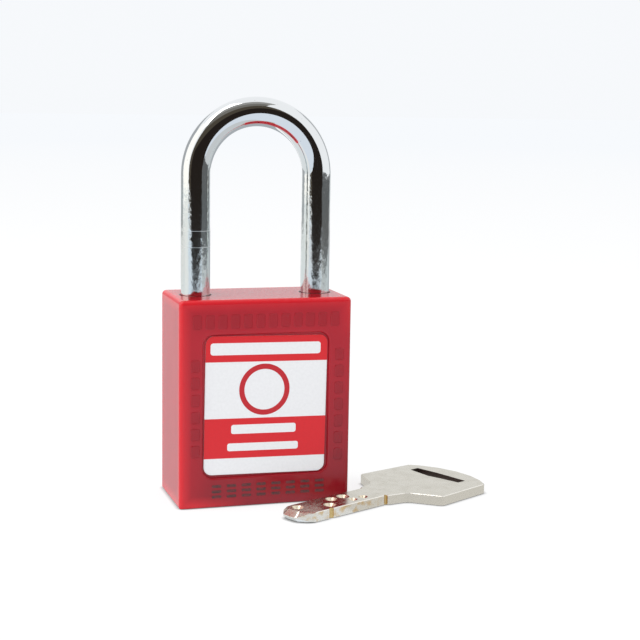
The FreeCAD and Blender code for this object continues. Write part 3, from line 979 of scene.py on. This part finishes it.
FLOOR_SIZE = 6.0
FLOOR_DROP = 0.02 * MM
FLOOR_PAINT = (0.2, 0.2, 0.2)
FLOOR_GLOW_NEAR = (0.79, 0.79, 0.79)
FLOOR_GLOW_FAR = (0.745, 0.765, 0.79)
FADE_FROM, FADE_TO = 0.3, 2.5
CONTACT_SHADOW_REACH = 0.9 * MM
BACKDROP = (0.955, 0.975, 1.0)
BACKDROP_STRENGTH = 0.97
LIGHT_AIM = (0, 0, 0.03)

# Below: what the plating mirrors. An azimuth is in degrees from the camera's side, positive to
# its right, and distances and heights are in metres.
TABLE_LIFT = 0.1 * MM
MID, TOP = 0.21, 0.40
BROWN, DARK, OLIVE = (0.075, 0.064, 0.05), (0.018, 0.014, 0.012), (0.07, 0.06, 0.045)

# Fans of table round the lock's foot: (name, colour, edge as (azimuth, distance)).
TABLE_FANS = [
    ("table_front", (0.72, 0.79, 0.88),
     [(-52, 1.085), (-14, 0.43), (-12, 0.33), (14, 0.33), (16, 0.42), (56, 0.576)]),
    ("table_left_front", (0.84, 0.86, 0.87), [(-85, 1.1), (-52, 1.085)]),
    ("table_left", (0.76, 0.80, 0.82), [(-150, 0.9), (-85, 0.9)]),
    ("table_right", (0.60, 0.63, 0.65), [(56, 0.8), (130, 0.8)]),
    ("table_back", (0.42, 0.45, 0.48), [(130, 0.8), (200, 0.8)]),
]

# The dark room and its pale sides: (name, colour, corners as (azimuth, distance, height)).
ROOM_PANELS = [
    ("room_front_left", BROWN,
     [(-52, 1.085, 0), (-34, 0.7, 0), (-34, 0.45, MID), (-50, 0.465, MID)]),
    ("room_front", DARK,
     [(-34, 0.7, 0), (-12, 0.33, 0), (14, 0.33, 0), (56, 0.576, 0), (55, 0.335, MID),
      (-34, 0.45, MID)]),
    ("room_front_high", OLIVE,
     [(-50, 0.465, MID), (-34, 0.45, MID), (55, 0.335, MID), (42, 0.36, TOP),
      (-42, 0.43, TOP)]),
    ("room_ceiling", (0.18, 0.175, 0.16),
     [(-42, 0.43, TOP), (42, 0.36, TOP), (56, 0.24, TOP), (-52, 0.24, TOP)]),
    ("room_ceiling_back", (0.32, 0.32, 0.31),
     [(-52, 0.24, TOP), (56, 0.24, TOP), (80, 0.2, TOP), (-70, 0.12, TOP)]),
    ("room_right", (0.12, 0.125, 0.13),
     [(52, 0.35, 0.018), (130, 0.36, 0.022), (130, 0.36, 0.058), (52, 0.35, 0.064)]),
    ("room_left_behind", (0.40, 0.42, 0.44),
     [(-108, 0.33, 0.03), (-150, 0.33, 0.03), (-150, 0.33, 0.3), (-108, 0.33, 0.3)]),
    ("room_right_behind", (0.45, 0.47, 0.49),
     [(130, 0.33, 0), (152, 0.33, 0), (152, 0.33, 0.3), (130, 0.33, 0.3)]),
    ("sky_left", (1.16, 1.14, 1.1),
     [(-56, 1.2, 0), (-106, 1.2, 0), (-106, 1.2, 1.3), (-56, 1.2, 1.3)]),
]


def toward(azimuth, elevation):
    return Vector((math.sin(azimuth) * math.cos(elevation),
                   -math.cos(azimuth) * math.cos(elevation), math.sin(elevation)))


def make_camera():
    back = toward(AZIMUTH, ELEVATION)
    camera = bpy.data.objects.new("camera", bpy.data.cameras.new("camera"))
    scene.collection.objects.link(camera)
    camera.data.lens = LENS
    camera.data.clip_start = CLIP_START
    turn = (-back).to_track_quat("-Z", "Y").to_matrix().to_4x4()
    camera.matrix_world = (Matrix.Translation(AIM + back * DISTANCE) @ turn
                           @ Matrix.Rotation(ROLL, 4, "Z"))
    scene.camera = camera


def area_light(name, place, side, power):
    """A square white lamp that looks at LIGHT_AIM."""
    data = bpy.data.lights.new(name, "AREA")
    data.shape = "SQUARE"
    data.size = side
    data.energy = power
    lamp = bpy.data.objects.new(name, data)
    scene.collection.objects.link(lamp)
    lamp.location = place
    lamp.rotation_mode = "QUATERNION"
    lamp.rotation_quaternion = (Vector(LIGHT_AIM) - Vector(place)).to_track_quat("-Z", "Y")
    return lamp


def flat_panel(name, corners, colour):
    """A plain glowing panel that only shows in reflections."""
    bm = bmesh.new()
    bm.faces.new([bm.verts.new(p) for p in corners])
    panel = from_bmesh(name, bm)
    made, shader = new_material(name, (0, 0, 0), 1.0)
    shader.inputs["Specular IOR Level"].default_value = 0.0
    shader.inputs["Emission Color"].default_value = (*colour, 1)
    shader.inputs["Emission Strength"].default_value = 1.0
    panel.data.materials.append(made)
    for ray in ("camera", "diffuse", "shadow", "transmission", "volume_scatter"):
        setattr(panel, "visible_" + ray, False)


def make_floor():
    """A pale table that glows a little, with a painted contact shadow near what stands on it, and
    turns into the backdrop's colour far away.
    """
    bm = bmesh.new()
    bmesh.ops.create_grid(bm, x_segments=1, y_segments=1, size=FLOOR_SIZE)
    floor = from_bmesh("floor", bm)
    floor.location.z = -FLOOR_DROP
    made, shader = new_material("floor_white", FLOOR_PAINT, 0.8)
    shader.inputs["Specular IOR Level"].default_value = 0.0
    tree = made.node_tree
    coordinates = tree.nodes.new("ShaderNodeTexCoord")
    distance = tree.nodes.new("ShaderNodeVectorMath")
    distance.operation = "LENGTH"
    tree.links.new(coordinates.outputs["Object"], distance.inputs[0])
    far = spread(made, distance.outputs["Value"], FADE_FROM, FADE_TO)
    tree.links.new(blend_colours(made, far, FLOOR_GLOW_NEAR, FLOOR_GLOW_FAR),
                   shader.inputs["Emission Color"])
    # Painted contact shadow: the floor's glow darkens close to anything that stands on it.
    contact_shadow = tree.nodes.new("ShaderNodeAmbientOcclusion")
    contact_shadow.inputs["Distance"].default_value = CONTACT_SHADOW_REACH
    tree.links.new(contact_shadow.outputs["AO"], shader.inputs["Emission Strength"])
    floor.data.materials.append(made)


def around(azimuth, distance, height):
    """A point round the lock's foot, in the terms of TABLE_FANS and ROOM_PANELS."""
    return toward(AZIMUTH + math.radians(azimuth), 0) * distance + Vector((0, 0, height))


def make_reflected_room():
    for name, colour, edge in TABLE_FANS:
        rim = [around(azimuth, distance, TABLE_LIFT) for azimuth, distance in edge]
        flat_panel(name, [Vector((0, 0, TABLE_LIFT))] + rim, colour)
    for name, colour, corners in ROOM_PANELS:
        flat_panel(name, [around(*corner) for corner in corners], colour)


def make_world():
    world = bpy.data.worlds.new("studio")
    scene.world = world
    world.use_nodes = True
    background = world.node_tree.nodes["Background"]
    background.inputs["Color"].default_value = (*BACKDROP, 1)
    background.inputs["Strength"].default_value = BACKDROP_STRENGTH
    scene.view_settings.view_transform = "Standard"


make_camera()
make_world()
make_floor()
make_reflected_room()
area_light("overhead", (-0.25, -0.1, 0.7), side=0.5, power=2.0)
area_light("left_fill", (-0.5, 0.04, 0.25), side=0.4, power=1.0).visible_glossy = False

make_case()
make_raised_pads()
make_stamped_row()
make_front_label()
make_shackle()
make_key()
dress_cad_nodes()
make_pin_springs()
